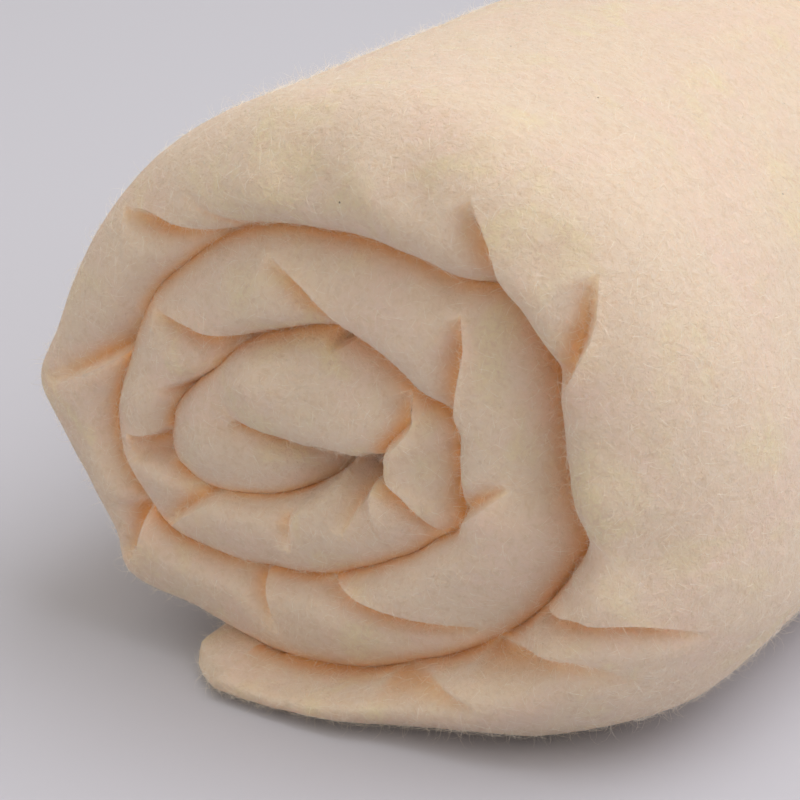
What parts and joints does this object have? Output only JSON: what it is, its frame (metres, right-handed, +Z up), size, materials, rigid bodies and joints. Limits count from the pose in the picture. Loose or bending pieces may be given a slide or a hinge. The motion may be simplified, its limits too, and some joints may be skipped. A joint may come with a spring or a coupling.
{
  "type": "roll of quilt batting",
  "caption": "Thick folded band of soft cotton batting wound into a roll that lies on its side, with the loose end tucked under it.",
  "frame": {"origin": "on the surface the roll lies on, under the middle of its bounding box", "axes": "+Z up, +Y along the roll's axis from the open end with the drawn-in folds to the plain end, +X to the right seen from the open end; the loose end lies under the roll towards -X"},
  "size_m": [0.2453, 0.391, 0.1994],
  "materials": {
    "cotton_batting": "soft matt cream cotton wadding with a fine fuzzy surface"
  },
  "bodies": {
    "root": {"batting_roll": "cotton_batting"}
  },
  "joints": []
}
